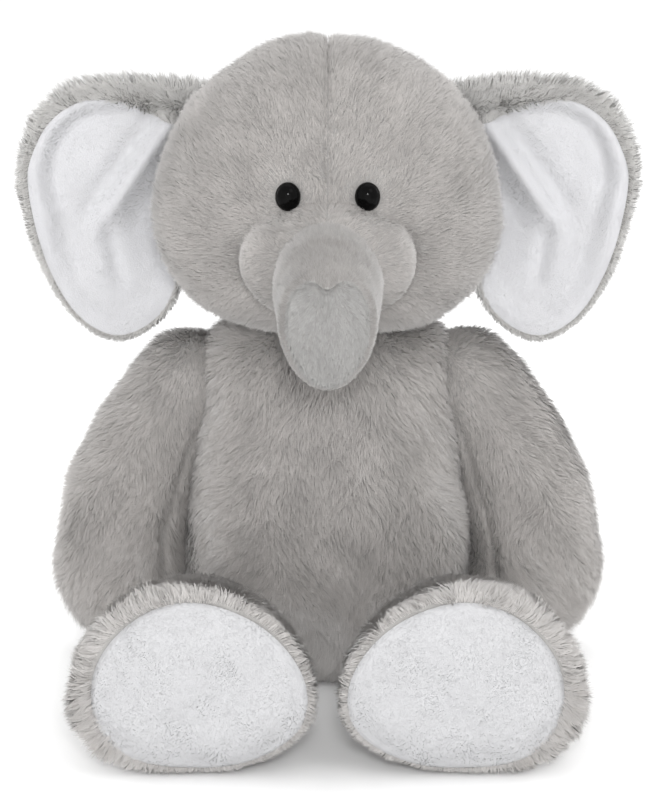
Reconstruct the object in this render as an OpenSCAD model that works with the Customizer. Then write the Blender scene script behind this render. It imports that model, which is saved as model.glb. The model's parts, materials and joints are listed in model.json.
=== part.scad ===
// Stuffed elephant that sits on its seat, legs forward. Millimetres, +Z up, the face looks along -Y.
// The origin is the centre of the flat seat panel, on the surface that the toy sits on.
// "Left" is the toy's own left, on the +X side.

/* [Head] */
// Width of the head across the cheeks
head_w = 162; // [158:1:166]
// Height of the head, crown to chin
head_h = 138; // [134:1:144]
// Depth of the head without the muzzle
head_d = 140; // [134:1:144]
// How far the muzzle stands out of the face
muzzle_out = 15; // [10:1:16]
// Distance between the eye centres
eye_spacing = 37; // [34:1:42]
// Diameter of a safety eye
eye_d = 12; // [9:0.5:13]

/* [Trunk] */
// Width of the trunk at its thickest
trunk_w = 47; // [42:1:50]
// Height of the trunk's end
trunk_h = 54; // [50:1:56]
// How far the trunk reaches out from its root ball
trunk_reach = 22; // [18:1:26]

/* [Ears] */
// How far an ear reaches out from its root seam
ear_reach = 68; // [60:1:72]
// Height of an ear
ear_h = 127; // [120:1:130]
// Depth of the ear's cup
ear_cup = 9; // [4:1:12]

/* [Torso] */
// Width of the torso at its widest
torso_w = 138; // [130:1:140]
// Depth of the torso at its deepest
torso_d = 118; // [112:1:122]
// Height of the torso up to the neck opening
torso_h = 165; // [160:1:168]

/* [Arms] */
// Thickness of an arm at the hand
hand_w = 60; // [56:1:62]
// Thickness of an arm at the shoulder
shoulder_w = 42; // [40:1:46]
// Height of the hand above the surface that the toy sits on
hand_lift = 17; // [14:1:24]

/* [Legs] */
// Width of a foot
foot_w = 104; // [96:1:106]
// Height of a foot
foot_h = 89; // [84:1:92]
// Thickness of a leg at the hip
hip_w = 62; // [56:1:64]
// Distance from the seat's centre to the soles
sole_reach = 160; // [154:1:166]

/* [Fabric] */
// Thickness of the plush: backing and the dense foot of the pile
plush = 3; // [2.5:0.1:3.5]
// Thickness of the short-pile lining of ears and soles
lining = 1.6; // [1.2:0.1:2]

/* [Hidden] */

grey = [0.66, 0.65, 0.64];
white = [0.94, 0.94, 0.95];
wadding_white = [0.97, 0.97, 0.95];
black = [0.02, 0.02, 0.02];
thread = [0.55, 0.54, 0.53];

joint_gap = 1.6;    // air between two parts that turn on each other
fill_gap = 0.5;     // air between a skin and its stuffing
thread_r = 0.4;     // radius of a drawn-up ring of seam thread, which lies in the middle of that air

// Head: an ellipsoid above its widest line and a squarer form below it
head_rx = head_w / 2;
head_ry = head_d / 2;
head_down = 0.435 * head_h;
head_up = head_h - head_down;
neck_step = 8;      // from the torso's neck opening up to the head's underside
head_z = torso_h + neck_step + head_down;
nod_z = torso_h + 6;
jowl = 2.5;         // squareness of the lower half
head_rows = 20;
head_cols = 32;
face_warp = 28;     // degrees by which columns crowd towards the face
muzzle_hw = 43;
muzzle_hh = 27;
muzzle_z = head_z - 19;
muzzle_first_row = 5;
muzzle_last_row = 9;
muzzle_cols = 5;    // columns of the muzzle on each side of the centre line

// ---------------------------------------------------------------- curves

function unit(v) = v / norm(v);
function mix(a, b, t) = a + (b - a) * t;
function last(list) = list[len(list) - 1];
function flat_pow(x, p) = sign(x) * pow(abs(x), p);

// Catmull-Rom through four rows
function spline(a, b, c, d, t) =
    (2 * b + (c - a) * t + (2 * a - 5 * b + 4 * c - d) * t * t
     + (3 * b - a - 3 * c + d) * t * t * t) / 2;

// A smooth row at s = 0..1 through a list of rows
function along(rows, s) =
    let (n = len(rows) - 1, q = min(max(s, 0), 1) * n, i = min(floor(q), n - 1))
    spline(rows[max(i - 1, 0)], rows[i], rows[i + 1], rows[min(i + 2, n)], q - i);

function place(row) = [row[0], row[1], row[2]];

// 1 in the middle of a limb, falling to 0 as a round dome over the share c of its length at its end
function dome(s, c) = c > 0 && s < c ? sqrt(max(0, 1 - pow(1 - s / c, 2))) : 1;

// One ring round a centre. Its underside is squarer than an ellipse where sag is over 2.
function ring(centre, u, v, cols, sag = 2) =
    [for (j = [0:cols - 1])
        let (a = 360 * j / cols, p = sin(a) < 0 ? 2 / sag : 1)
        centre + u * flat_pow(cos(a), p) + v * flat_pow(sin(a), p)];

function limb_way(rows, s) = unit(place(along(rows, min(s + 0.02, 1))) - place(along(rows, max(s - 0.02, 0))));
function limb_up(way) = unit(cross(way, [1, 0, 0]));

// The rear half of the ball that a limb turns on, from near its pole to just short of its widest ring
ball_rings = 4;
function ball(rows, inset, cols) =
    let (way = limb_way(rows, 0), v = limb_up(way), u = cross(v, way), r = rows[0][3] - inset)
    [for (i = [0:ball_rings - 1])
        let (a = 12 + 78 * i / ball_rings)
        ring(place(rows[0]) - way * r * cos(a), u * r * sin(a), v * r * sin(a), cols)];

// The limb's tube, from its ball's centre to its tip. Rows are [x, y, z, half width, half depth].
function tube(rows, inset, reach, tip_cap, count, cols, sag) =
    [for (i = [0:count - 1])
        let (
            t = tip_cap > 0 ? sin(90 * i / (count - 0.6)) : i / (count - 1),
            s = t * (tip_cap > 0 ? 1 - inset / reach : 1),
            row = along(rows, s),
            way = limb_way(rows, s),
            v = limb_up(way),
            u = cross(v, way),
            k = dome(1 - s, tip_cap)
        )
        ring(
            place(row), u * k * (row[3] - inset), v * k * (row[4] - inset), cols,
            mix(2, sag, min(1, 2 * s))
        )];

function limb(rows, inset, reach, tip_cap, count, cols, sag = 2) =
    concat(ball(rows, inset, cols), tube(rows, inset, reach, tip_cap, count, cols, sag));

// ---------------------------------------------------------------- solids from rings

// A closed solid through rings of points, with a flat face on each end
module filling(rings) {
    m = len(rings);
    n = len(rings[0]);
    function at(i, j) = i * n + (j + n) % n;
    polyhedron(
        [for (r = rings) each r],
        [
            for (i = [0:m - 2], j = [0:n - 1]) [at(i, j), at(i + 1, j), at(i + 1, j + 1), at(i, j + 1)],
            [for (j = [0:n - 1]) at(0, j)],
            [for (j = [n - 1:-1:0]) at(m - 1, j)]
        ],
        convexity = 6
    );
}

// A cut of fabric: the cells of a grid for which has(row, column) is true, between an outer and an inner face.
// first and last name the columns between which it also closes over the top end (or the root end).
module fabric(outer, inner, has, first = undef, last = undef, at_root = false) {
    m = len(outer);
    n = len(outer[0]);
    function o(i, j) = i * n + (j + n) % n;
    function k(i, j) = o(i, j) + m * n;
    function cell(i, j) = i >= 0 && i < m - 1 && has(i, (j + n) % n);
    end_row = at_root ? 0 : m - 1;
    closes = !is_undef(first);
    whole = closes && last - first == n;
    span = closes ? [for (j = [first:whole ? last - 1 : last]) j] : [];
    back = [for (q = [len(span) - 1:-1:0]) span[q]];
    faces = [
        for (i = [0:m - 2], j = [0:n - 1]) if (cell(i, j)) each [
            [o(i, j), o(i + 1, j), o(i + 1, j + 1), o(i, j + 1)],
            [k(i, j), k(i, j + 1), k(i + 1, j + 1), k(i + 1, j)],
            if (!cell(i, j - 1)) [o(i, j), k(i, j), k(i + 1, j), o(i + 1, j)],
            if (!cell(i, j + 1)) [o(i, j + 1), o(i + 1, j + 1), k(i + 1, j + 1), k(i, j + 1)],
            if (!cell(i - 1, j) && !(closes && at_root && i == 0))
                [o(i, j), o(i, j + 1), k(i, j + 1), k(i, j)],
            if (!cell(i + 1, j) && !(closes && !at_root && i == m - 2))
                [o(i + 1, j + 1), o(i + 1, j), k(i + 1, j), k(i + 1, j + 1)]
        ],
        if (closes) [for (j = at_root ? span : back) o(end_row, j)],
        if (closes) [for (j = at_root ? back : span) k(end_row, j)],
        if (closes && !whole) at_root
            ? [o(end_row, first), o(end_row, last), k(end_row, last), k(end_row, first)]
            : [o(end_row, last), o(end_row, first), k(end_row, first), k(end_row, last)]
    ];
    polyhedron([for (r = concat(outer, inner)) each r], faces, convexity = 8);
}

end_sunk = 2;       // how deep the rim of an end panel sits in its tube

// A shallow dome of cloth that fills an end ring
module end_panel(ring, centre, way, bulge, thick) {
    shares = [0.1, 0.4, 0.7, 0.9, 1];
    function layer(deep) =
        [for (k = shares)
            [for (p = ring) mix(centre, p, k) + way * (bulge * (1 - k * k) - end_sunk + deep)]];
    face = layer(thick);
    filling(concat(layer(0), [for (i = [len(face) - 1:-1:0]) face[i]]));
}

// Rings drawn back towards +Y, the more the nearer they are to the last one, to make room for an end panel
function drawn_back(rings) =
    let (n = len(rings) - 1)
    [for (i = [0:n]) [for (p = rings[i]) p + [0, (end_sunk + 0.5) * pow(i / n, 3), 0]]];

// Turns +Z to look along a direction
module aim(way) {
    rotate([0, acos(way[2] / norm(way)), atan2(way[1], way[0])]) children();
}

module other_side() {
    mirror([1, 0, 0]) children();
}

// A ring of drawn-up seam thread round an axis
module thread_ring(radius) {
    color(thread)
        rotate_extrude($fn = 48)
            translate([radius, 0])
                circle(r = thread_r, $fn = 16);
}

// ---------------------------------------------------------------- head

function head_angle(j) = let (t = 360 * j / head_cols) t - face_warp * sin(t - 270);
function head_latitude(i) = -79 + i * 161 / (head_rows - 1);

// A point of the head, inset below its surface. The muzzle pushes the face forward.
function head_point(i, j, inset) =
    let (
        a = head_angle(j),
        f = head_latitude(i),
        low = f < 0,
        p = low ? 2 / jowl : 1,
        round_by = pow(cos(f), p),
        rise = flat_pow(sin(f), p),
        x = head_rx * round_by * cos(a),
        z = head_z + (low ? head_down : head_up) * rise,
        swell = 1 - pow(x / muzzle_hw, 2) - pow((z - muzzle_z) / muzzle_hh, 2),
        out = sin(a) < 0 ? muzzle_out * pow(max(0, swell), 0.6) : 0
    )
    [
        (head_rx - inset) * round_by * cos(a),
        (head_ry - inset) * round_by * sin(a) - out,
        head_z + ((low ? head_down : head_up) - inset) * rise
    ];

function head_grid(inset) =
    [for (i = [0:head_rows - 1]) [for (j = [0:head_cols - 1]) head_point(i, j, inset)]];

face_col = head_cols * 3 / 4;
nape_col = head_cols / 4;
function in_muzzle(i, j) =
    i >= muzzle_first_row && i <= muzzle_last_row
    && j >= face_col - muzzle_cols && j < face_col + muzzle_cols;

// Where an eye sits on the left of the face, and the way it looks
eye_rise = 17.6;
eye_lat = asin(eye_rise / head_up);
eye_turn = asin(eye_spacing / 2 / (head_rx * cos(eye_lat)));
eye_at = [eye_spacing / 2, -head_ry * cos(eye_lat) * cos(eye_turn), head_z + eye_rise];
eye_way = unit([
    eye_at[0] / pow(head_rx, 2),
    eye_at[1] / pow(head_ry, 2),
    eye_rise / pow(head_up, 2)
]);
eye_lift = 0.4;
post_r = 1.9;
post_l = 12;
washer_r = 6.5;
washer_t = 1.2;
washer_depth = plush + 0.9;

module at_eye() {
    translate(eye_at) aim(eye_way) children();
}

module post_hole() {
    at_eye() translate([0, 0, -plush - 3]) cylinder(r = post_r + 0.15, h = plush + 6, $fn = 32);
}

module head_panel_left() {
    color(grey)
        difference() {
            fabric(
                head_grid(0), head_grid(plush),
                function (i, j) (j >= face_col || j < nape_col) && !in_muzzle(i, j),
                face_col, nape_col + head_cols
            );
            post_hole();
        }
}

module head_panel_right() {
    color(grey)
        difference() {
            fabric(
                head_grid(0), head_grid(plush),
                function (i, j) j >= nape_col && j < face_col && !in_muzzle(i, j),
                nape_col, face_col
            );
            other_side() post_hole();
        }
}

module muzzle_panel() {
    color(grey) fabric(head_grid(0), head_grid(plush), function (i, j) in_muzzle(i, j));
}

module head_stuffing() {
    color(wadding_white)
        difference() {
            filling(head_grid(plush + fill_gap));
            for (side = [0, 1])
                mirror([side, 0, 0])
                    at_eye()
                        translate([0, 0, -post_l - 4])
                            cylinder(r = washer_r + 1, h = post_l + 8, $fn = 32);
        }
}

module eye() {
    cap_r = eye_d / 2 * 1.05;
    sunk = 0.3 * cap_r;
    color(black)
        at_eye() {
            translate([0, 0, eye_lift])
                intersection() {
                    translate([0, 0, -sunk]) sphere(r = cap_r, $fn = 48);
                    cylinder(r = cap_r, h = cap_r, $fn = 48);
                }
            translate([0, 0, -post_l]) cylinder(r = post_r, h = post_l + eye_lift + 0.5, $fn = 32);
        }
}

module eye_washer() {
    color(white)
        at_eye()
            translate([0, 0, -washer_depth - washer_t])
                difference() {
                    cylinder(r = washer_r, h = washer_t, $fn = 40);
                    translate([0, 0, -1]) cylinder(r = post_r + 0.05, h = washer_t + 2, $fn = 32);
                }
}

// ---------------------------------------------------------------- trunk

trunk_root_r = 20;
trunk_root = [0, -head_ry - muzzle_out - joint_gap - trunk_root_r + 3.5, head_z - 22];
// Upright ovals: [x, y, z, half width, half height]
trunk_rows = [
    [each trunk_root, trunk_root_r, trunk_root_r],
    [0, trunk_root[1] - 0.34 * trunk_reach, trunk_root[2] - 3, trunk_w / 2 - 1.5, trunk_root_r + 3],
    [0, trunk_root[1] - 0.7 * trunk_reach, trunk_root[2] - 6.5, trunk_w / 2, trunk_h / 2 - 1],
    [0, trunk_root[1] - trunk_reach, trunk_root[2] - 8.5, trunk_w / 2 - 1.5, trunk_h / 2 - 0.5]
];
trunk_cols = 20;
trunk_rings = 8;

function trunk_grid(inset) =
    let (r = trunk_root_r - inset, across = [1, 0, 0], up = [0, 0, 1])
    concat(
        [for (i = [0:ball_rings - 1])
            let (a = 12 + 78 * i / ball_rings)
            ring(trunk_root + [0, r * cos(a), 0], across * r * sin(a), up * r * sin(a), trunk_cols)],
        [for (i = [0:trunk_rings - 1])
            let (row = along(trunk_rows, i / (trunk_rings - 1)))
            ring(place(row), across * (row[3] - inset), up * (row[4] - inset), trunk_cols)]
    );

module trunk_panel_left() {
    color(grey)
        fabric(
            trunk_grid(0), trunk_grid(plush),
            function (i, j) j < trunk_cols / 4 || j >= trunk_cols * 3 / 4,
            trunk_cols * 3 / 4, trunk_cols * 5 / 4, true
        );
}

module trunk_panel_right() {
    other_side() trunk_panel_left();
}

// The oval panel that closes the trunk's front
module trunk_end() {
    color(grey) end_panel(last(trunk_grid(plush + 0.9)), place(last(trunk_rows)), [0, -1, 0], 3, plush);
}

module trunk_stuffing() {
    color(wadding_white) filling(drawn_back(trunk_grid(plush + 2 * fill_gap)));
}

// ---------------------------------------------------------------- ears

ear_root_y = 18;
ear_top = [head_rx - 7.5, head_z + 49];       // upper end of the root seam, as x and z
ear_low = [head_rx + 6.5, head_z - 11];       // lower end of the root seam
ear_mid = [ear_low[0] + 0.34 * ear_reach, head_z - 6];
ear_out = ear_low[0] + ear_reach - 6;
ear_crown = head_z + 53;
ear_foot = ear_crown - ear_h;
// The outline of the left ear as x and z, anticlockwise from the top of the root seam
ear_outline = [
    ear_top,
    [ear_top[0] - 1 + 0.16 * ear_reach, ear_crown - 4],
    [ear_top[0] + 0.42 * ear_reach, ear_crown],
    [ear_out - 0.34 * ear_reach, ear_crown - 3],
    [ear_out - 0.1 * ear_reach, ear_crown - 18],
    [ear_out, ear_crown - 43],
    [ear_out - 3, ear_crown - 68],
    [ear_out - 0.17 * ear_reach, ear_foot + 36],
    [ear_out - 0.36 * ear_reach, ear_foot + 10],
    [ear_out - 0.62 * ear_reach, ear_foot],
    [ear_low[0] + 1, ear_foot + 7],
    [ear_low[0] - 8, ear_foot + 20],
    [ear_low[0] - 2, ear_foot + 42],
    ear_low,
    mix(ear_top, ear_low, 0.5) + [0.6, 0.3]
];
ear_cols = 30;
ear_rings = [0.12, 0.4, 0.66, 0.86, 1];

// The outline is a loop, so the spline runs round past its ends
function ear_rim(t) =
    let (n = len(ear_outline), q = t * n, i = floor(q))
    spline(
        ear_outline[(i + n - 1) % n], ear_outline[i % n],
        ear_outline[(i + 1) % n], ear_outline[(i + 2) % n], q - i
    );

// A point of the ear's sheet. rho is 0 at its middle and 1 at its rim, depth is how far behind the lining's face.
function ear_point(t, rho, depth, margin) =
    let (
        rim = ear_rim(t),
        k = rho * (1 - margin / norm(rim - ear_mid)),
        flat = mix(ear_mid, rim, k),
        y = ear_root_y - 0.11 * (flat[0] - ear_low[0]) - 0.05 * (head_z - flat[1])
            + ear_cup * (1 - pow(k, 2.4))
    )
    [flat[0], y - ear_thick / 2 + depth, flat[1]];

ear_wad_t = 2;
ear_thick = lining + ear_wad_t + plush;

function ear_sheet(depth, margin) =
    [for (rho = ear_rings) [for (j = [0:ear_cols - 1]) ear_point(j / ear_cols, rho, depth, margin)]];

// One cloth of the ear, from one depth to another
module ear_cloth(from, to, margin = 0) {
    face = ear_sheet(from, margin);
    rear = ear_sheet(to, margin);
    filling(concat(face, [for (i = [len(rear) - 1:-1:0]) rear[i]]));
}

module ear_lining_left() {
    color(white) ear_cloth(0, lining);
}

module ear_wadding_left() {
    color(wadding_white) ear_cloth(lining + 0.5, lining + ear_wad_t - 0.5, 5);
}

module ear_back_left() {
    color(grey) ear_cloth(lining + ear_wad_t, ear_thick);
}

// ---------------------------------------------------------------- torso

torso_rx = torso_w / 2;
torso_ry = torso_d / 2;
neck_r = 26;
// Rows are [share of the height, half width, half depth]
torso_rows = [
    [0, 0.73 * torso_rx, 0.71 * torso_ry],
    [0.025, 0.86 * torso_rx, 0.86 * torso_ry],
    [0.085, 0.95 * torso_rx, 0.955 * torso_ry],
    [0.19, 0.993 * torso_rx, 0.995 * torso_ry],
    [0.33, torso_rx, torso_ry],
    [0.47, 0.985 * torso_rx, 0.985 * torso_ry],
    [0.6, 0.94 * torso_rx, 0.95 * torso_ry],
    [0.72, 0.88 * torso_rx, 0.89 * torso_ry],
    [0.83, 0.81 * torso_rx, 0.81 * torso_ry],
    [0.91, 0.71 * torso_rx, 0.71 * torso_ry],
    [0.97, 0.56 * torso_rx, 0.57 * torso_ry],
    [1, neck_r, neck_r]
];
torso_cols = 32;
torso_turns = 20;

function torso_ring(s, inset, low) =
    let (row = along(torso_rows, s), z = mix(low, torso_h - (low > 0 ? inset : 0), row[0]))
    [for (j = [0:torso_cols - 1])
        let (a = 360 * j / torso_cols)
        [(row[1] - inset) * cos(a), (row[2] - inset) * sin(a), z]];

function torso_grid(inset, low = 0) =
    [for (i = [0:torso_turns - 1]) torso_ring(i / (torso_turns - 1), inset, low)];

// Where along the torso's rows a height is found
function torso_share(z, s = 0.5, step = 0.25) =
    step < 0.001 ? s
    : torso_share(z, s + (along(torso_rows, s)[0] * torso_h < z ? step : -step), step / 2);

// A point of the torso's left side at a height, as x and z, and the way that it faces, sideways or upwards
function side_point(z) = [along(torso_rows, torso_share(z))[1], z];
function side_way(z) =
    let (s = torso_share(z), a = along(torso_rows, s - 0.02), b = along(torso_rows, s + 0.02))
    unit([(b[0] - a[0]) * torso_h, max(0, a[1] - b[1])]);

module torso_front() {
    color(grey)
        fabric(torso_grid(0), torso_grid(plush), function (i, j) j >= torso_cols / 2);
}

module torso_back_left() {
    color(grey)
        fabric(torso_grid(0), torso_grid(plush), function (i, j) j < torso_cols / 4);
}

module torso_back_right() {
    other_side() torso_back_left();
}

module torso_stuffing() {
    color(wadding_white) filling(torso_grid(plush + fill_gap, plush + fill_gap));
}

module seat_panel() {
    ring = torso_ring(0, plush + 0.1, 0);
    color(grey)
        linear_extrude(plush)
            polygon([for (p = ring) [p[0], p[1]]]);
}

label_w = 14;
label_l = 18;
label_t = 0.6;

// A blank care label, sewn into the centre-back seam above the tail
module care_label() {
    color(white)
        translate([-label_t / 2, torso_ry, 0.34 * torso_h])
            cube([label_t, label_l, label_w]);
}

// ---------------------------------------------------------------- neck

plug_r = neck_r - plush - 1;
ball_r = 5;

// A wad of stuffing that fills the neck: a disc in the torso's opening and a cone up to a small ball
module neck_plug() {
    color(wadding_white) {
        translate([0, 0, torso_h - plush + 0.2]) cylinder(r = plug_r, h = plush + 2, $fn = 48);
        translate([0, 0, torso_h + 2]) cylinder(r1 = plug_r - 4, r2 = ball_r - 1.2, h = 3.4, $fn = 48);
        translate([0, 0, nod_z]) sphere(r = ball_r, $fn = 32);
    }
}

module neck_seam() {
    translate([0, 0, torso_h + 1.2]) thread_ring(neck_r - 1);
}

// ---------------------------------------------------------------- arms

shoulder_r = shoulder_w / 2;
hand_r = hand_w / 2;
arm_flat = 0.95;    // depth of an arm over its width

// A row of the arm that lies against the torso's side at a height
function arm_row(z, r, y, flat = arm_flat) =
    let (at = side_point(z) + side_way(z) * (joint_gap + r))
    [at[0], y, at[1], r, r * flat];

shoulder_touch = torso_h - 28;
arm_span = shoulder_touch - hand_lift;
arm_rows = [
    arm_row(shoulder_touch, shoulder_r, 2, 1),
    arm_row(shoulder_touch - 0.18 * arm_span, mix(shoulder_r, hand_r, 0.42), 1.5),
    arm_row(shoulder_touch - 0.36 * arm_span, mix(shoulder_r, hand_r, 0.72), 0.5),
    arm_row(shoulder_touch - 0.54 * arm_span, mix(shoulder_r, hand_r, 0.9), -1),
    arm_row(shoulder_touch - 0.7 * arm_span, hand_r, -2),
    arm_row(shoulder_touch - 0.85 * arm_span, hand_r, -3),
    arm_row(hand_lift, hand_r - 1, -3)
];
shoulder = place(arm_rows[0]);
arm_cols = 20;
arm_rings = 12;
arm_inner_from = 7; // the inner panel's columns, on the side that faces the torso
arm_inner_to = 13;

function arm_grid(inset) = limb(arm_rows, inset, arm_span, 0.25, arm_rings, arm_cols);

module arm_outer_left() {
    color(grey)
        fabric(
            arm_grid(0), arm_grid(plush),
            function (i, j) j < arm_inner_from || j >= arm_inner_to,
            arm_inner_to, arm_inner_from + arm_cols
        );
}

module arm_inner_left() {
    color(grey)
        fabric(
            arm_grid(0), arm_grid(plush),
            function (i, j) j >= arm_inner_from && j < arm_inner_to,
            arm_inner_from, arm_inner_to
        );
}

module arm_stuffing_left() {
    color(wadding_white) filling(arm_grid(plush + fill_gap));
}

// The thread rings lie on a sphere in the middle of the air round a limb's ball
module ball_thread(centre, ball_r, way, radius) {
    orbit = ball_r + joint_gap / 2;
    translate(centre)
        aim(way)
            translate([0, 0, sqrt(orbit * orbit - radius * radius)])
                thread_ring(radius);
}

module arm_seam_left() {
    way = side_way(shoulder_touch);
    ball_thread(shoulder, shoulder_r, [-way[0], 0, 0.25], 8);
}

// ---------------------------------------------------------------- legs

hip_r = hip_w / 2;
hip_turn = 50;      // where the hip meets the torso, in degrees round from its side
hip_z = hip_r + 2;
hip_row = along(torso_rows, 0.28);
hip_touch = [hip_row[1] * cos(hip_turn), -hip_row[2] * sin(hip_turn)];
hip_out = unit([cos(hip_turn) / hip_row[1], -sin(hip_turn) / hip_row[2]]);
hip = [each (hip_touch + hip_out * (hip_r + joint_gap)), hip_z];
foot_rx = foot_w / 2;
foot_rz = foot_h / 2;
leg_run = sole_reach + hip[1];
leg_rows = [
    [each hip, hip_r, hip_r],
    [hip[0], hip[1] - 0.32 * leg_run, hip_z + 3, hip_r + 3.5, hip_r + 3],
    [hip[0], hip[1] - 0.62 * leg_run, foot_rz - 2, 0.9 * foot_rx, foot_rz - 3],
    [hip[0], hip[1] - 0.86 * leg_run, foot_rz, foot_rx, foot_rz - 0.5],
    [hip[0], hip[1] - leg_run, foot_rz + 2.5, 0.965 * foot_rx, 0.955 * foot_rz]
];
leg_cols = 24;
foot_sag = 2.5;     // squareness of the underside, which rests on the floor
sole_bulge = 5;
leg_rings = 9;

function leg_grid(inset) = limb(leg_rows, inset, leg_run, 0, leg_rings, leg_cols, foot_sag);

module leg_skin_left() {
    color(grey)
        fabric(
            leg_grid(0), leg_grid(plush),
            function (i, j) true,
            0, leg_cols, true
        );
}

// The white sole: a shallow dome set into the open end of the leg
module foot_sole_left() {
    color(white)
        end_panel(last(leg_grid(plush + 0.1)), place(last(leg_rows)), limb_way(leg_rows, 1), sole_bulge, lining);
}

module leg_stuffing_left() {
    color(wadding_white) filling(drawn_back(leg_grid(plush + fill_gap)));
}

module leg_seam_left() {
    ball_thread(hip, hip_r, [-hip_out[0], -hip_out[1], 0], 14);
}

// ---------------------------------------------------------------- tail

tail_r = 5.5;
tail_root = [0, torso_ry + joint_gap + tail_r, 30];
tail_rows = [
    [each tail_root, tail_r, tail_r],
    [0, tail_root[1] + 11, 20, tail_r, tail_r],
    [0, tail_root[1] + 19, 11, tail_r - 0.5, tail_r - 0.5],
    [0, tail_root[1] + 29, 7, tail_r - 1, tail_r - 1]
];

module tail_skin() {
    color(grey) filling(limb(tail_rows, 0, 40, 0.1, 8, 12));
}

// The brush of longer pile on the tail's end
module tail_tuft() {
    start = [0, tail_root[1] + 29.6, 7];
    tuft_rows = [
        [each start, 5, 5],
        [each (start + [0, 7, 0]), 6.6, 6.4],
        [each (start + [0, 14, -0.6]), 5, 5]
    ];
    color(grey) filling(tube(tuft_rows, 0, 14, 0.45, 7, 12, 2));
}

// ---------------------------------------------------------------- assembly

head_panel_left();
head_panel_right();
muzzle_panel();
head_stuffing();
eye();  // eye_left
other_side() eye();  // eye_right
eye_washer();  // eye_washer_left
other_side() eye_washer();  // eye_washer_right
trunk_panel_left();
trunk_panel_right();
trunk_end();
trunk_stuffing();
ear_back_left();
ear_wadding_left();
ear_lining_left();
other_side() ear_back_left();  // ear_back_right
other_side() ear_wadding_left();  // ear_wadding_right
other_side() ear_lining_left();  // ear_lining_right
neck_plug();
neck_seam();
torso_front();
torso_back_left();
torso_back_right();
seat_panel();
torso_stuffing();
care_label();
arm_seam_left();
arm_outer_left();
arm_inner_left();
arm_stuffing_left();
other_side() arm_seam_left();  // arm_seam_right
other_side() arm_outer_left();  // arm_outer_right
other_side() arm_inner_left();  // arm_inner_right
other_side() arm_stuffing_left();  // arm_stuffing_right
leg_seam_left();
leg_skin_left();
foot_sole_left();
leg_stuffing_left();
other_side() leg_seam_left();  // leg_seam_right
other_side() leg_skin_left();  // leg_skin_right
other_side() foot_sole_left();  // foot_sole_right
other_side() leg_stuffing_left();  // leg_stuffing_right
tail_skin();
tail_tuft();
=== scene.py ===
"""The looks of a stuffed elephant: sewn skins, pile, short-pile linings, eyes and seams.

Lengths are in metres, +Z is up and the face looks towards -Y.
"""
import json
import math

import bpy
import numpy as np
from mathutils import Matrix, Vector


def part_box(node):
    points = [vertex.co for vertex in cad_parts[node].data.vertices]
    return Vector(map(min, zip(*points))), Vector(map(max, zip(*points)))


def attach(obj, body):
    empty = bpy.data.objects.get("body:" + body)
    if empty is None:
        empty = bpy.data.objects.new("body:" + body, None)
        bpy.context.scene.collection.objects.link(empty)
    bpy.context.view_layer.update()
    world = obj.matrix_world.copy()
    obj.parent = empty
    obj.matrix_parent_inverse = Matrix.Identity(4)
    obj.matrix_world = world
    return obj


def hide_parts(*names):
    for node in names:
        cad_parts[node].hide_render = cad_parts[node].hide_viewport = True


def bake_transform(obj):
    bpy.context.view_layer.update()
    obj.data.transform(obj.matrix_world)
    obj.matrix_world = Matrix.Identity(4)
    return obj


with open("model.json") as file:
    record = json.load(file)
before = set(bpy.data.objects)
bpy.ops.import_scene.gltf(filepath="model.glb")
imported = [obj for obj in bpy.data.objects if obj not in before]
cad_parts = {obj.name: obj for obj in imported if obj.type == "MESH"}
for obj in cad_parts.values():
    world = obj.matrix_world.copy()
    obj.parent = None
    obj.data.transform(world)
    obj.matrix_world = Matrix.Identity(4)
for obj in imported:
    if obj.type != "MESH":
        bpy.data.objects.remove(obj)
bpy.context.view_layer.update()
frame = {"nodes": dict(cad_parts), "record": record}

MM = 0.001
SIDES = {"left": 1, "right": -1}

# ------------------------------------------------------------------ sizes, from the frame


def box(node):
    low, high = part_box(node)
    return np.array(low), np.array(high)


def joint_at(name):
    joints = frame["record"]["behaviour"]["joints"]
    return next(np.array(j["pos_m"], float) for j in joints if j["name"] == name)


FUR_FOOT = 3.5 * MM                                 # from a CAD stuffing out to the foot of the pile
FLOOR_GAP = 0.3 * MM                                # the lowest that a strand of pile may reach
HEAD_TOP = box("head_stuffing")[1]
HEAD_R = HEAD_TOP[:2] + FUR_FOOT                    # half the head's width and depth
EYE = sum(box("eye_left")) / 2
HEAD_Z = joint_at("head_nod")[2] + 62 * MM          # the level where the head is widest
HEAD_UP = HEAD_TOP[2] + FUR_FOOT - HEAD_Z
HEAD_DOWN = 60 * MM
TRUNK_ROOT = joint_at("trunk_lift")
MUZZLE = dict(z=HEAD_Z - 13.5 * MM, half_w=40.5 * MM, half_h=26.5 * MM, out=22.5 * MM)

# ------------------------------------------------------------------ curves and surfaces


def unit(v):
    return v / np.maximum(np.linalg.norm(v, axis=-1, keepdims=True), 1e-12)


def step(x, low, high):
    t = np.clip((x - low) / (high - low), 0, 1)
    return t * t * (3 - 2 * t)


def signed_pow(x, p):
    return np.sign(x) * np.abs(x) ** p


def near(distance, width):
    """1 at no distance, falling off smoothly within about that width."""
    return np.exp(-((distance / width) ** 2))


def spline(a, b, c, d, t):
    """A Catmull-Rom curve from b to c as t goes from 0 to 1."""
    return (2 * b + (c - a) * t + (2 * a - 5 * b + 4 * c - d) * t**2 + (3 * b - a - 3 * c + d) * t**3) / 2


def along(rows, s):
    """A smooth row at s = 0..1 through a list of rows."""
    rows = np.asarray(rows, float)
    n = len(rows) - 1
    q = np.clip(np.asarray(s, float), 0, 1) * n
    i = np.minimum(q.astype(int), n - 1)
    t = (q - i)[..., None]
    return spline(*(rows[np.clip(i + k, 0, n)] for k in (-1, 0, 1, 2)), t)


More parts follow.
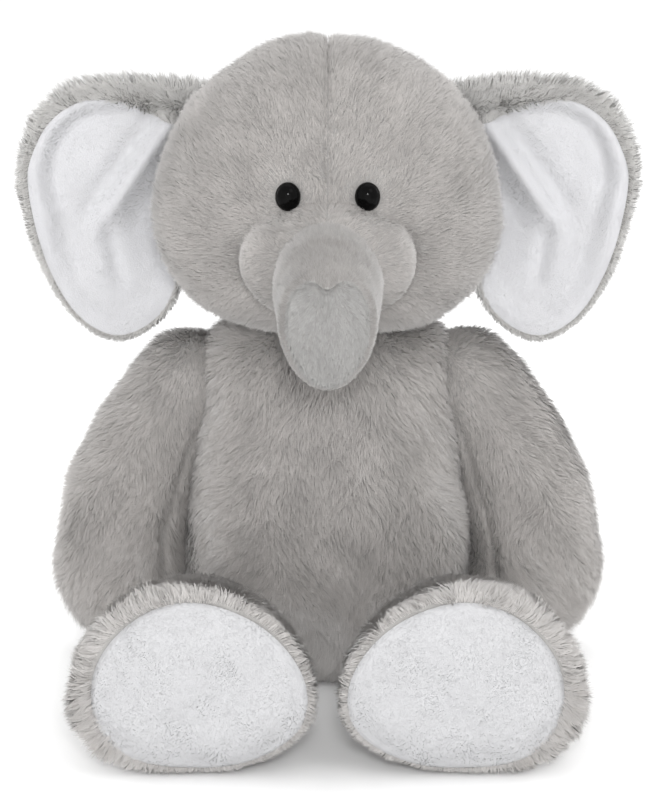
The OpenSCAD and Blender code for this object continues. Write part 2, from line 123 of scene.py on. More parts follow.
WAVES = np.random.default_rng(5)
WAVE_DIRS = unit(WAVES.normal(size=(3, 14, 3)))
WAVE_PHASES = WAVES.uniform(0, 2 * math.pi, (3, 14))
WAVE_STRETCH = WAVES.uniform(0.7, 1.5, (3, 14))


def noise(p, size, channel=0):
    """Smooth noise of about -1..1 over points, with features of that size."""
    k = WAVE_DIRS[channel] * (2 * math.pi / size) * WAVE_STRETCH[channel][:, None]
    return np.sin(p @ k.T + WAVE_PHASES[channel]).mean(-1) * 2.2


def noise_slope(p, size, channel=0):
    """The slope of noise(), scaled to about unit length."""
    k = WAVE_DIRS[channel] * WAVE_STRETCH[channel][:, None]
    phase = p @ (k * (2 * math.pi / size)).T + WAVE_PHASES[channel]
    return np.cos(phase) @ k / math.sqrt(len(k)) * 1.4


def per_vertex(mesh, key):
    """The "co" or the "normal" of each vertex of a mesh."""
    values = np.empty(len(mesh.vertices) * 3)
    mesh.vertices.foreach_get(key, values)
    return values.reshape(-1, 3)


def new_object(name, verts, faces, materials):
    mesh = bpy.data.meshes.new(name)
    mesh.from_pydata([tuple(v) for v in verts], [], faces)
    mesh.validate()
    mesh.shade_smooth()
    for material in materials:
        mesh.materials.append(material)
    obj = bpy.data.objects.new(name, mesh)
    bpy.context.scene.collection.objects.link(obj)
    return obj


def grid_faces(rows, cols):
    """The faces between closed rings of cols points each."""
    return [
        (i * cols + j, (i + 1) * cols + j, (i + 1) * cols + (j + 1) % cols, i * cols + (j + 1) % cols)
        for i in range(rows - 1) for j in range(cols)
    ]


def loft(name, rings, materials, cap_first=True, cap_last=True, inside=None):
    """A surface through closed rings of points, with its faces looking away from a point inside."""
    rings = np.asarray(rings)
    m, n = rings.shape[:2]
    verts = list(rings.reshape(-1, 3))
    faces = grid_faces(m, n)
    if cap_first:
        verts.append(rings[0].mean(0))
        faces += [(len(verts) - 1, j, (j + 1) % n) for j in range(n)]
    if cap_last:
        verts.append(rings[-1].mean(0))
        faces += [(len(verts) - 1, (m - 1) * n + (j + 1) % n, (m - 1) * n + j) for j in range(n)]
    points = np.array(verts)
    start = points.mean(0) if inside is None else np.asarray(inside)
    corner = np.array([points[list(f[:3])] for f in faces]) - start
    if np.einsum("ij,ij->i", corner[:, 0], np.cross(corner[:, 1], corner[:, 2])).sum() < 0:
        faces = [f[::-1] for f in faces]
    return new_object(name, verts, faces, materials)


def ring(centre, u, v, cols, sag=2.0):
    """An oval ring with half axes u and v. A sag above 2 makes its lower half squarer."""
    a = np.arange(cols) * 2 * math.pi / cols
    p = np.where(np.sin(a) < 0, 2 / sag, 1.0)
    return centre + np.outer(signed_pow(np.cos(a), p), u) + np.outer(signed_pow(np.sin(a), p), v)


def limb_rings(rows, count, cols, tip=0.0, sag=2.0):
    """Rings of a limb: half a ball at its root, then a tube through rows of x, y, z, half width, half depth.

    tip is the share of the length that rounds off to a point.
    """
    rows = np.asarray(rows, float)
    ball = 8

    def facing(s):
        way = unit(along(rows, min(s + 0.02, 1))[:3] - along(rows, max(s - 0.02, 0))[:3])
        v = unit(np.cross(way, [1, 0, 0]))
        return way, np.cross(v, way), v

    way, u, v = facing(0.0)
    root, r = rows[0, :3], rows[0, 3]
    out = [
        ring(root - way * r * math.cos(a), u * r * math.sin(a), v * r * math.sin(a), cols)
        for a in np.linspace(0.06, math.pi / 2, ball, endpoint=False)
    ]
    for i in range(count):
        s = math.sin(math.pi / 2 * i / (count - 0.7)) if tip else i / (count - 1)
        row = along(rows, s)
        way, u, v = facing(s)
        k = math.sqrt(max(0, 1 - (1 - (1 - s) / tip) ** 2)) if tip and 1 - s < tip else 1
        out.append(ring(row[:3], u * k * row[3], v * k * row[4], cols, 2 + (sag - 2) * min(1, 2 * s)))
    return np.array(out)


# ------------------------------------------------------------------ materials


def material(name, color, roughness, sheen=0.0):
    mat = bpy.data.materials.new(name)
    mat.use_nodes = True
    shader = mat.node_tree.nodes["Principled BSDF"]
    shader.inputs["Base Color"].default_value = (*color, 1)
    shader.inputs["Roughness"].default_value = roughness
    shader.inputs["Sheen Weight"].default_value = sheen
    shader.inputs["Sheen Roughness"].default_value = 0.5
    return mat


def mottled(name, dark, light, grain, bump, sheen=0.15, roughness=0.9):
    """A finish whose colour mottles between two tones, on a surface raised by fine noise."""
    mat = material(name, light, roughness, sheen)
    nodes, links = mat.node_tree.nodes, mat.node_tree.links
    shader = nodes["Principled BSDF"]
    place = nodes.new("ShaderNodeTexCoord")

    def texture(scale, detail):
        made = nodes.new("ShaderNodeTexNoise")
        made.inputs["Scale"].default_value = scale
        made.inputs["Detail"].default_value = detail
        return made

    patches, nap = texture(60, 6), texture(grain, 3)
    mix = nodes.new("ShaderNodeMixRGB")
    mix.inputs["Color1"].default_value = (*dark, 1)
    mix.inputs["Color2"].default_value = (*light, 1)
    raised = nodes.new("ShaderNodeBump")
    raised.inputs["Strength"].default_value = bump
    raised.inputs["Distance"].default_value = 0.0008
    links.new(place.outputs["Object"], patches.inputs["Vector"])
    links.new(place.outputs["Object"], nap.inputs["Vector"])
    links.new(patches.outputs["Fac"], mix.inputs["Fac"])
    links.new(mix.outputs["Color"], shader.inputs["Base Color"])
    links.new(nap.outputs["Fac"], raised.inputs["Height"])
    links.new(raised.outputs["Normal"], shader.inputs["Normal"])
    return mat


def tones(name, color, spread, count=5):
    """Shades of one colour, from dark to light, for the strands of a pile."""
    shades = np.linspace(-1, 1, count)
    return [
        material(f"{name}_{i}", tuple(np.array(color) * (1 + spread * s)), roughness=0.9, sheen=0.45)
        for i, s in enumerate(shades)
    ]


GREY_BACKING = mottled("plush_backing", (0.31, 0.30, 0.29), (0.39, 0.38, 0.37), 900, 0.6)
# The soles' velboa is the linings' white, painted darker as shade to offset the low lamp that lights them.
SHADE_PAINTED_SOLE_NAP = mottled("sole_velboa", (0.48, 0.48, 0.49), (0.53, 0.53, 0.54), 1400, 0.3, 0.3)
WHITE_NAP = mottled("velboa", (0.59, 0.59, 0.61), (0.67, 0.67, 0.685), 1400, 0.3, 0.3)
GREY_PILE = tones("grey_pile", (0.42, 0.40, 0.385), 0.17)
LIT_PILE = GREY_PILE + tones("lit_pile", (0.585, 0.565, 0.55), 0.12, 4)        # the greys, then lighter shades that paint light onto the fur
TRUNK_PILE = tones("trunk_pile", (0.315, 0.301, 0.29), 0.20)
END_PILE = tones("end_pile", (0.36, 0.355, 0.347), 0.16)
# The ears' fur is painted lighter than the head's: painted light, for thin rim fur seen bright against the
# white.
EAR_PILE = tones("ear_pile", (0.60, 0.59, 0.575), 0.10)
WHITE_PILE = tones("white_pile", (0.64, 0.64, 0.655), 0.01, 3)
# The soles' nap strands are the linings' white, painted darker as shade to offset the low lamp.
SHADE_PAINTED_SOLE_PILE = tones("sole_pile", (0.51, 0.51, 0.522), 0.01, 3)
WADDING = mottled("wadding_fibre", (0.80, 0.80, 0.78), (0.92, 0.92, 0.90), 500, 0.8)
THREAD = mottled("seam_thread", (0.30, 0.29, 0.28), (0.42, 0.41, 0.40), 3000, 0.5)
LABEL = mottled("label_tape", (0.86, 0.86, 0.85), (0.93, 0.93, 0.92), 2500, 0.3)
WASHER = mottled("washer_plastic", (0.78, 0.78, 0.76), (0.86, 0.86, 0.84), 200, 0.1, 0.0, 0.45)


def eye_material():
    """Black moulded plastic, polished, and barely mottled."""
    mat = mottled("eye_gloss", (0.0015, 0.0015, 0.0015), (0.003, 0.0028, 0.0028), 150, 0.01, 0.0, 0.08)
    mat.node_tree.nodes["Principled BSDF"].inputs["Specular IOR Level"].default_value = 0.07
    return mat


EYE_GLOSS = eye_material()

# ------------------------------------------------------------------ pile

SWIRL_SIZE = 34 * MM                                # how far apart the comb's turns are
RISE_SIZE = 16 * MM                                 # and patches of steeper fur
PATCH_SIZE = 26 * MM                                # and patches of darker fur
TONE_REACH = 1.1                                    # the noise that gives the lightest shade
NAP = 0.45 * MM                                     # length of the short pile of linings and soles
NAP_LOOK = dict(lift=62, width=0.28, clump=0.0, soft=1.0, swirl=0.1)


def surface_of(obj):
    """Corner points, corner normals and areas of an object's triangles."""
    mesh = obj.data
    mesh.calc_loop_triangles()
    corners = np.empty(len(mesh.loop_triangles) * 3, np.int32)
    mesh.loop_triangles.foreach_get("vertices", corners)
    p = per_vertex(mesh, "co")[corners].reshape(-1, 3, 3)
    n = per_vertex(mesh, "normal")[corners].reshape(-1, 3, 3)
    return p, n, np.linalg.norm(np.cross(p[:, 1] - p[:, 0], p[:, 2] - p[:, 0]), axis=-1) / 2


def roots(obj, density, rng, keep=None):
    """Random points on an object, that many to the square millimetre, with their normals.

    keep(point, normal) is the chance, 0 to 1, that a point stays.
    """
    p, n, area = surface_of(obj)
    count = int(area.sum() / MM**2 * density)
    at = np.searchsorted(np.cumsum(area), rng.uniform(0, area.sum(), count))
    at = np.minimum(at, len(area) - 1)
    u, v = rng.uniform(size=(2, count))
    flip = u + v > 1
    u[flip], v[flip] = 1 - u[flip], 1 - v[flip]
    w = np.stack([1 - u - v, u, v], -1)[..., None]
    point, normal = (p[at] * w).sum(1), unit((n[at] * w).sum(1))
    if keep is not None:
        wanted = rng.uniform(size=count) < keep(point, normal)
        point, normal = point[wanted], normal[wanted]
    return point, normal


def pile(name, skin, body, shades, comb, length, density, seed, lift=30, width=0.3, clump=0.6, keep=None,
         soft=0.92, tuft=7 * MM, swirl=0.25, painted_light=None):
    """Strands of pile that stand on a skin and lie along comb(point, normal), as one mesh of tapered blades.

    lift is how far they rise in degrees, and width is theirs in millimetres. clump gathers their tips into
    tufts of the size tuft, and swirl is how far the comb wanders. soft is how far they are shaded like the
    skin below. The last argument, 0 to 1 over points, paints light: it moves a shade from the greys towards
    the lighter ones after them, where the fur should look lit.
    """
    rng = np.random.default_rng(seed)
    root, normal = roots(skin, density, rng, keep)
    count = len(root)
    way = comb(root, normal)
    way = way + swirl * noise_slope(root, SWIRL_SIZE, 1) * np.linalg.norm(way, axis=-1, keepdims=True)
    way = unit(way - (way * normal).sum(-1, keepdims=True) * normal)
    long = (length(root) if callable(length) else np.full(count, length)) * rng.uniform(0.62, 1.12, count)
    rise = np.radians(lift) + np.radians(12) * noise(root, RISE_SIZE, 2) + rng.normal(0, 0.12, count)
    rise = np.clip(rise, 0.12, 1.5)[:, None]
    gather = noise_slope(root, tuft, 0)
    gather = gather - (gather * normal).sum(-1, keepdims=True) * normal
    stray = rng.normal(0, 0.13, (count, 3))
    # each strand rises steeply in its first half and leans over in its second
    steep, flat = rise + 0.35, rise - 0.1
    early = unit(np.cos(steep) * way + np.sin(steep) * normal + 0.12 * clump * gather + 0.6 * stray)
    late = unit(np.cos(flat) * way + np.sin(flat) * normal + 0.42 * clump * gather + stray)
    middle = root + early * (0.5 * long)[:, None]
    tip = middle + late * (0.5 * long)[:, None]
    side = unit(np.cross(early, normal))
    roll = rng.normal(0, 0.5, count)[:, None]
    side = side * np.cos(roll) + np.cross(early, side) * np.sin(roll)
    outward = (np.cross(side, early) * normal).sum(-1, keepdims=True)
    side = side * np.where(outward < 0, -1.0, 1.0)       # every blade shows its front to the outside
    wide = width * MM / 2 * 1.0
    half = (wide * rng.uniform(0.7, 1.25, count))[:, None]
    waist = side * half * 0.85
    verts = np.stack([root - side * half, root + side * half, middle + waist, middle - waist, tip], 1)
    facing = unit(np.cross(side, late))
    shade = unit(normal * soft + facing * (1 - soft))
    tone = 0.5 * noise(root, PATCH_SIZE, 2) + 0.35 * noise(root, tuft, 0) + rng.normal(0, 0.33, count)
    # painted light: the last argument moves strands past the greys into lighter shades
    greys = len(GREY_PILE) if painted_light else len(shades)
    tone = (tone + TONE_REACH) / (2 * TONE_REACH) * greys
    if painted_light:
        tone = tone + painted_light(root) * (len(shades) - greys)
    tone = np.clip(tone.astype(int), 0, len(shades) - 1)
    return strands(name, verts, shade, tone, shades, body)


def strands(name, verts, shade, tone, shades, body):
    """A mesh of blades of five points each: a face of four and a tip of three."""
    count = len(verts)
    verts[..., 2] = np.maximum(verts[..., 2], FLOOR_GAP)
    mesh = bpy.data.meshes.new(name)
    mesh.vertices.add(count * 5)
    mesh.vertices.foreach_set("co", verts.reshape(-1).astype(np.float32))
    mesh.loops.add(count * 7)
    base = (np.arange(count) * 5)[:, None]
    mesh.loops.foreach_set("vertex_index", (base + [0, 1, 2, 3, 3, 2, 4]).reshape(-1).astype(np.int32))
    mesh.polygons.add(count * 2)
    starts = (np.arange(count) * 7)[:, None] + [0, 4]
    mesh.polygons.foreach_set("loop_start", starts.reshape(-1).astype(np.int32))
    mesh.polygons.foreach_set("material_index", np.repeat(tone, 2).astype(np.int32))
    mesh.update(calc_edges=True)
    mesh.shade_smooth()
    for one in shades:
        mesh.materials.append(one)
    mesh.normals_split_custom_set_from_vertices(np.repeat(shade, 5, 0).astype(np.float32))
    obj = bpy.data.objects.new(name, mesh)
    bpy.context.scene.collection.objects.link(obj)
    if body:
        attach(obj, body)
    return obj


# ------------------------------------------------------------------ stuffing the skins


SKINS = []                                          # to stuff: skin, cap on its movement, pinned(points)
CLOTH_FACE = 4.6 * MM
CLOTH_FRAMES = 20
CLOTH_SLACK = 0.35                                  # share of the cap by which a cloth starts further in


def voxel_copy(obj, size):
    """A closed copy of a skin, made of even faces."""
    mesh = obj.data.copy()
    copy = bpy.data.objects.new("stuffing_" + obj.name, mesh)
    bpy.context.scene.collection.objects.link(copy)
    remesh = copy.modifiers.new("even", "REMESH")
    remesh.mode = "VOXEL"
    remesh.voxel_size = size
    applied(copy)
    return copy


def applied(obj):
    """Puts what an object's modifiers make into its mesh."""
    bpy.context.view_layer.update()
    shape = obj.evaluated_get(bpy.context.evaluated_depsgraph_get())
    mesh = bpy.data.meshes.new_from_object(shape)
    obj.modifiers.clear()
    obj.data = mesh


def add_cloth(obj, held):
    """Makes an object a cloth blown up from inside, pinned as far as held says for each vertex."""
    seams = obj.vertex_groups.new(name="seams")
    for i in np.nonzero(held > 0.02)[0]:
        seams.add([int(i)], float(held[i]), "REPLACE")
    cloth = obj.modifiers.new("cloth", "CLOTH")
    cloth.settings.quality = 6
    cloth.settings.mass = 0.2
    cloth.settings.tension_stiffness = 12
    cloth.settings.compression_stiffness = 8
    cloth.settings.shear_stiffness = 4
    cloth.settings.bending_stiffness = 0.3
    cloth.settings.use_pressure = True
    cloth.settings.uniform_pressure_force = 4
    cloth.settings.vertex_group_mass = "seams"
    cloth.settings.effector_weights.gravity = 0
    cloth.point_cache.frame_start, cloth.point_cache.frame_end = 1, CLOTH_FRAMES


def stuff_skins():
    """Blows the skins up as cloth between their pinned seams, which wrinkles them, all in one run."""
    runs = []
    for obj, cap, pinned in SKINS:
        copy = voxel_copy(obj, CLOTH_FACE)
        start = per_vertex(copy.data, "co")
        held = np.clip(pinned(start), 0, 1)
        slack = CLOTH_SLACK * cap * (1 - held)
        start = start - per_vertex(copy.data, "normal") * slack[:, None]
        copy.data.vertices.foreach_set("co", start.reshape(-1))
        add_cloth(copy, held)
        runs.append((obj, copy, start, cap, held))
    for frame_number in range(1, CLOTH_FRAMES + 1):
        bpy.context.scene.frame_set(frame_number)
    graph = bpy.context.evaluated_depsgraph_get()
    for obj, copy, start, cap, held in runs:
        blown = per_vertex(copy.evaluated_get(graph).data, "co")
        move = blown - start
        size = np.linalg.norm(move, axis=-1, keepdims=True)
        move = move * (cap * np.tanh(size / cap) / np.maximum(size, 1e-9))
        normal = per_vertex(copy.data, "normal")
        swell = (move * normal).sum(-1)
        even = np.median(swell[held < 0.3]) * (1 - held)          # the swelling that the whole skin shares
        slack = CLOTH_SLACK * cap * (1 - held)
        move = move - normal * even[:, None] + normal * slack[:, None]
        copy.modifiers.clear()
        copy.data.vertices.foreach_set("co", (start + move).reshape(-1))
        copy.data.update()
        finer = copy.modifiers.new("finer", "SUBSURF")
        finer.levels = 1
        applied(copy)
        mesh, materials = copy.data, list(obj.data.materials)
        mesh.materials.clear()
        for one in materials:
            mesh.materials.append(one)
        mesh.shade_smooth()
        obj.data = mesh
        bpy.data.objects.remove(copy)
    bpy.context.scene.frame_set(1)


def groove(obj, depth, *strengths):
    """Presses seams into a skin: each strength is 0 to 1 over points."""
    mesh = obj.data
    p = per_vertex(mesh, "co")
    pressed = depth * np.minimum(sum(np.clip(f(p), 0, 1) for f in strengths), 1)
    mesh.vertices.foreach_set("co", (p - per_vertex(mesh, "normal") * pressed[:, None]).reshape(-1))
    mesh.update()


# ------------------------------------------------------------------ camera, light and floor

CAMERA = dict(lens=138.4, elevation=17.0, distance=1.5, aim=(0.0027, -0.03, 0.1405))
LIT_POINT = np.array([0, -0.03, 0.16])
LAMPS = [                                           # name, place, size of the square, watts
    ("key", (0.75, -1.0, 1.35), 0.7, 2),
    ("fill", (-1.2, -1.1, 0.5), 1.4, 1.5),
    ("low", (0.0, -1.4, 0.20), 1.2, 3),
    ("top", (0.1, 0.2, 1.6), 1.0, 1.5),
    ("rim_left", (-1.1, 0.8, 0.5), 0.9, 6),
    ("rim_right", (1.1, 0.8, 0.5), 0.9, 6),
    ("spark", (0.04, -1.40, 0.74), 0.21, 7),
]
FLOOR_HALF = 3.0


def studio():
    scene = bpy.context.scene
    data = bpy.data.cameras.new("camera")
    data.sensor_width = 36
    data.lens = CAMERA["lens"]
    camera = bpy.data.objects.new("camera", data)
    tilt = math.radians(CAMERA["elevation"])
    aim = np.array(CAMERA["aim"])
    camera.location = aim + CAMERA["distance"] * np.array([0, -math.cos(tilt), math.sin(tilt)])
    camera.rotation_euler = (math.pi / 2 - tilt, 0, 0)
    scene.collection.objects.link(camera)
    scene.camera = camera

    world = bpy.data.worlds.new("studio")
    world.use_nodes = True
    world.node_tree.nodes["Background"].inputs["Color"].default_value = (1, 1, 1, 1)
    world.node_tree.nodes["Background"].inputs["Strength"].default_value = 1.04
    scene.world = world

    scene.view_settings.view_transform = "Standard"

    for name, at, size, power in LAMPS:
        light = bpy.data.lights.new(name, "AREA")
        light.size = size
        light.energy = power
        obj = bpy.data.objects.new(name, light)
        obj.location = at
        way = LIT_POINT - np.array(at)
        tilt = math.atan2(math.hypot(way[0], way[1]), -way[2])
        obj.rotation_euler = (tilt, 0, math.atan2(way[0], -way[1]) + math.pi)
        scene.collection.objects.link(obj)
    corners = [(a * FLOOR_HALF, b * FLOOR_HALF, 0) for a, b in ((-1, -1), (1, -1), (1, 1), (-1, 1))]
    floor = new_object("floor", corners, [(0, 1, 2, 3)], [material("floor", (0.97, 0.97, 0.97), 0.9)])


# ------------------------------------------------------------------ head

FACE_FROM = 30 * MM                                 # the face is further forward than this
EYE_SIZE = np.array([6.0, 5.4, 6.9]) * MM           # half its width, depth and height
EYE_BACK = 4.6 * MM                                 # from the front of the CAD eye to the dome's centre


def head_surface(latitude, turn):
    """Points of the head. turn is 0 on the toy's left, 90 degrees at the nape and 270 at the face."""
    low = latitude < 0
    p = np.where(low, 0.74, 1.0)
    across = np.abs(np.cos(latitude)) ** p
    rise = signed_pow(np.sin(latitude), p)
    x = HEAD_R[0] * across * np.cos(turn)
    y = HEAD_R[1] * across * np.sin(turn)
    z = HEAD_Z + np.where(low, HEAD_DOWN, HEAD_UP) * rise
    return np.stack([x, y, z], -1)


def muzzle_depth(p):
    """How deep inside the muzzle's outline a point is: 1 in its middle, 0 on the outline, below 0 outside."""
    across = np.abs(p[..., 0]) / MUZZLE["half_w"]
    height = (p[..., 2] - MUZZLE["z"]) / MUZZLE["half_h"]
    return 1 - across**2.4 - np.abs(height) ** 2.2


def from_eye(p):
    """Distance of points from the middle of the nearer eye, seen from the front."""
    return np.hypot(np.abs(p[..., 0]) - EYE[0], p[..., 2] - EYE[2])


def face_relief(p):
    """How far the face stands out of the plain head: muzzle, its crease, eye dimples and crown seam."""
    front = step(-p[..., 1], 10 * MM, 40 * MM)
    deep = muzzle_depth(p)
    out = MUZZLE["out"] * np.clip(deep, 0, 1) ** 0.48
    out = out + 4.5 * MM * near(p[..., 0], 25 * MM) * near(p[..., 2] - MUZZLE["z"] - 9 * MM, 13 * MM)
    beside = step(np.abs(p[..., 0]), 12 * MM, 24 * MM)
    low = 1 - step(p[..., 2], MUZZLE["z"] + 8 * MM, MUZZLE["z"] + 24 * MM)
    crease = -2.8 * MM * near(deep, 0.12) * beside * low
    dimple = -2.2 * MM * near(from_eye(p), 8 * MM)
    seam = -1.6 * MM * near(p[..., 0], 1.6 * MM) * step(p[..., 2], HEAD_Z + 4 * MM, HEAD_Z + 30 * MM)
    return front * (out + crease + dimple) + seam


def make_head():
    rows, cols = 150, 220
    latitude = np.radians(np.linspace(-86, 88, rows))[:, None] * np.ones((1, cols))
    a = np.arange(cols) * 2 * math.pi / cols
    turn = (a - 0.45 * np.sin(a - 1.5 * math.pi))[None, :] * np.ones((rows, 1))
    p = head_surface(latitude, turn)
    lumps = 1.6 * MM * noise(p, 55 * MM, 1)
    away = unit(p - np.array([0, 0, HEAD_Z]))
    p = p + away * lumps[..., None]
    relief = face_relief(p)
    forward = unit(away + np.array([0, -1.6, 0]) * step(-p[..., 1], 20 * MM, 50 * MM)[..., None])
    p = p + forward * relief[..., None]
    head = loft("head_skin", p, [GREY_BACKING])
    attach(head, "head")
    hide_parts("head_panel_left", "head_panel_right", "muzzle_panel", "head_stuffing")

    def comb(q, n):
        """Away from the trunk's root and the eyes, parted at the crown, and down behind and on the cheeks."""
        v = (q - np.array([0, -40 * MM, HEAD_Z - 14 * MM])) / HEAD_R[0]
        v = v + np.array([0, 0.55, 0.1])
        behind = step(q[:, 1], -20 * MM, 30 * MM)[:, None]
        fall = np.stack([q[:, 0] / (160 * MM), 0 * q[:, 0], np.full(len(q), -1.0)], -1)
        v = v * (1 - behind) + fall * behind
        v[:, 0] += 0.9 * np.tanh(q[:, 0] / (16 * MM)) * step(n[:, 2], 0.45, 0.95)
        part = np.sign(q[:, 0]) * np.exp(-np.abs(q[:, 0]) / (5 * MM))
        v[:, 0] += 0.9 * part * step(q[:, 2], HEAD_Z, HEAD_Z + 40 * MM)
        inside = step(muzzle_depth(q), -0.15, 0.25) * step(-q[:, 1], 20 * MM, 45 * MM)
        inside = inside * (1 - step(q[:, 2], MUZZLE["z"] - 8 * MM, MUZZLE["z"] + 12 * MM))
        cheek = np.stack([q[:, 0] / (22 * MM), 0 * q[:, 0] - 0.1, np.full(len(q), -0.6)], -1)
        v = v * (1 - inside[:, None]) + cheek * inside[:, None]
        gap = q - np.stack([np.sign(q[:, 0]) * EYE[0], np.full(len(q), EYE[1]), np.full(len(q), EYE[2])], -1)
        round_eye = near(np.linalg.norm(gap, axis=-1), 10 * MM)[:, None]
        return v + 1.4 * round_eye * unit(gap)

    def length(q):
        off_eye = step(from_eye(q), 6 * MM, 17 * MM)
        front = step(-q[:, 1], 0, 60 * MM)
        base = 7.2 * MM - 2.6 * MM * front
        parted = near(muzzle_depth(q), 0.16) * step(np.abs(q[:, 0]), 14 * MM, 24 * MM)
        parted = np.maximum(parted, 0.8 * near(q[:, 0], 2.2 * MM) * step(q[:, 2], HEAD_Z, HEAD_Z + 30 * MM))
        base = base * (1 - 0.5 * parted) * (1 - 0.3 * step(muzzle_depth(q), -0.1, 0.3) * front)
        return np.where(q[:, 1] < -FACE_FROM, base * (0.45 + 0.55 * off_eye), base)

    def keep(q, n):
        """No fur under the eyes."""
        return np.where((q[:, 1] < -FACE_FROM) & (from_eye(q) < 6.4 * MM), 0.0, 1.0)

    pile("head_pile", head, "head", GREY_PILE, comb, length, 3.1, 11, lift=30, keep=keep)


def make_eyes():
    for side, sign in SIDES.items():
        front = box(f"eye_{side}")[0][1]
        centre = np.array([sign * EYE[0], front + EYE_BACK, EYE[2]])
        around = np.arange(48) * 2 * math.pi / 48
        rings = [
            centre + EYE_SIZE * np.stack([
                math.sin(f) * np.cos(around), np.full(48, -math.cos(f)), math.sin(f) * np.sin(around)], -1)
            for f in np.linspace(0.03, math.pi * 0.62, 26)
        ]
        eye = loft(f"eye_dome_{side}", rings[::-1], [EYE_GLOSS])
        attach(eye, "head")
        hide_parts(f"eye_{side}")


# ------------------------------------------------------------------ trunk

TRUNK_LOW, TRUNK_HIGH = box("trunk_panel_left")
TRUNK_W = TRUNK_HIGH[0]
TRUNK_FUR_FROM = (84 * MM, 90 * MM)                 # how far forward the trunk's own fur sets in
NOTCH = 5.5 * MM                                    # the dip in the top of the trunk's end


def make_trunk():
    cols = 88
    _, y, z = TRUNK_ROOT
    reach = y - TRUNK_LOW[1]
    rows = [                                        # y, z, half width, half height
        [y + 32 * MM, z + 4 * MM, TRUNK_W + 2 * MM, 25 * MM],
        [y + 16 * MM, z + 4 * MM, TRUNK_W + 1 * MM, 27 * MM],
        [y, z + 1.4 * MM, TRUNK_W, 27.6 * MM],
        [y - 0.34 * reach, z - 2.2 * MM, TRUNK_W - 1 * MM, 27.4 * MM],
        [y - 0.7 * reach, z - 6.2 * MM, TRUNK_W - 1.5 * MM, 27.3 * MM],
        [y - 0.95 * reach, z - 9 * MM, TRUNK_W - 2.3 * MM, 27 * MM],
        [y - 1.06 * reach, z - 9.4 * MM, TRUNK_W - 5 * MM, 25.6 * MM],
    ]
    a = np.arange(cols) * 2 * math.pi / cols

    def section(s):
        """An upright egg, wider at the top, with a notch that deepens towards the trunk's end."""
        y, z, rx, rz = along(rows, s)
        shaped = step(s, 0.35, 1)
        px = rx * np.cos(a) * (1 + 0.15 * shaped * np.sin(a))
        pz = rz * signed_pow(np.sin(a), np.where(np.sin(a) > 0, 1 - 0.25 * shaped, 1.0))
        pz = pz - NOTCH * step(s, 0.6, 1) * near(px, 5 * MM) * np.clip(np.sin(a), 0, 1)
        return np.stack([px, np.full(cols, y), z + pz], -1)

    rings = np.array([section(s) for s in np.linspace(0, 1, 52)])
    skin = loft("trunk_skin", rings, [GREY_BACKING], cap_first=False, cap_last=False)
    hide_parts("trunk_panel_left", "trunk_panel_right", "trunk_stuffing")

    edge = rings[-1] + np.array([0, -0.2 * MM, 0])
    middle = edge.mean(0)
    face = np.array([
        middle + (edge - middle) * k
        + np.array([0, 1.2 * MM * near(1 - k, 0.05) - 4.2 * MM * (1 - k**2.6), 0])
        for k in np.linspace(1, 0.02, 26)])
    face[..., 1] += 0.9 * MM * near(face[..., 0], 3 * MM) * step(face[..., 2], middle[2], middle[2] + 26 * MM)
    end = loft("trunk_end_panel", face, [GREY_BACKING], cap_first=False, inside=middle + [0, 40 * MM, 0])
    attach(end, "trunk")
    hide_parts("trunk_end")

    def comb(q, n):
        """Back towards the face, which hides the trunk's root in the fur of the muzzle."""
        return np.stack([0.25 * q[:, 0] / TRUNK_W, np.full(len(q), 0.85), 0.35 * n[:, 2]], -1)

    def comb_end(q, n):
        """Down and outwards from the notch."""
        top = np.array([0, 0, middle[2] + 24 * MM])
        return unit((q - top) * np.array([1, 0, 1])) + np.array([0, 0, -0.25])

    def length(q):
        return (3.2 - 1.0 * step(-q[:, 1], 112 * MM, 124 * MM)) * MM

    fur = pile("trunk_pile", skin, None, TRUNK_PILE, comb, length, 6.0, 21, lift=18, soft=1.0,
               keep=lambda q, n: step(-q[:, 1], *TRUNK_FUR_FROM))
    pile("trunk_end_pile", end, "trunk", END_PILE, comb_end, 3.0 * MM, 5.5, 22, lift=20, width=0.26,
         tuft=4 * MM, swirl=0.12, soft=1.0)
    for piece in (skin, fur):
        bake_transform(piece)


# ------------------------------------------------------------------ ears


EAR_LOW, EAR_HIGH = box("ear_back_left")


def ear_outline():
    """The left ear's outline as x and z, from the top of its root outwards and down."""
    w = EAR_HIGH[0] - EAR_LOW[0]
    h = EAR_HIGH[2] - EAR_LOW[2]
    shares = [                                      # of the ear's width and height
        (-0.22, 0.93), (0.06, 0.985), (0.34, 1.0), (0.64, 0.985), (0.86, 0.89), (0.985, 0.73), (1.0, 0.60),
        (0.93, 0.40), (0.82, 0.22), (0.66, 0.075), (0.44, 0.0), (0.23, 0.035), (0.07, 0.135), (-0.02, 0.30),
        (-0.02, 0.50), (-0.08, 0.70),
    ]
    return [(EAR_LOW[0] + a * w, EAR_LOW[2] + b * h) for a, b in shares]


def closed_curve(points, count):
    """That many points on a smooth closed curve through a few."""
    points = np.asarray(points)
    n = len(points)
    q = np.arange(count) / count * n
    i = q.astype(int)
    t = (q - i)[:, None]
    return spline(*(points[(i + k) % n] for k in (-1, 0, 1, 2)), t)


def ear_y(x, z, rho):
    """Where the ear's middle sheet is, front to back: it leans forward outwards and is cupped."""
    lean = (EAR_LOW[1] + EAR_HIGH[1]) / 2 + 3 * MM - 0.11 * (x - EAR_LOW[0]) - 0.02 * (HEAD_Z - z)
    cup = 8 * MM * (1 - rho**2.4)
    return lean + cup


def segment_gap(x, z, a, b):
    """Signed distance from the line a-b in the ear's plane, and how far along it as a share of its length."""
    a, b = np.array(a), np.array(b)
    way = (b - a) / np.linalg.norm(b - a)
    dx, dz = x - a[0], z - a[1]
    t = (dx * way[0] + dz * way[1]) / np.linalg.norm(b - a)
    return dx * -way[1] + dz * way[0], t


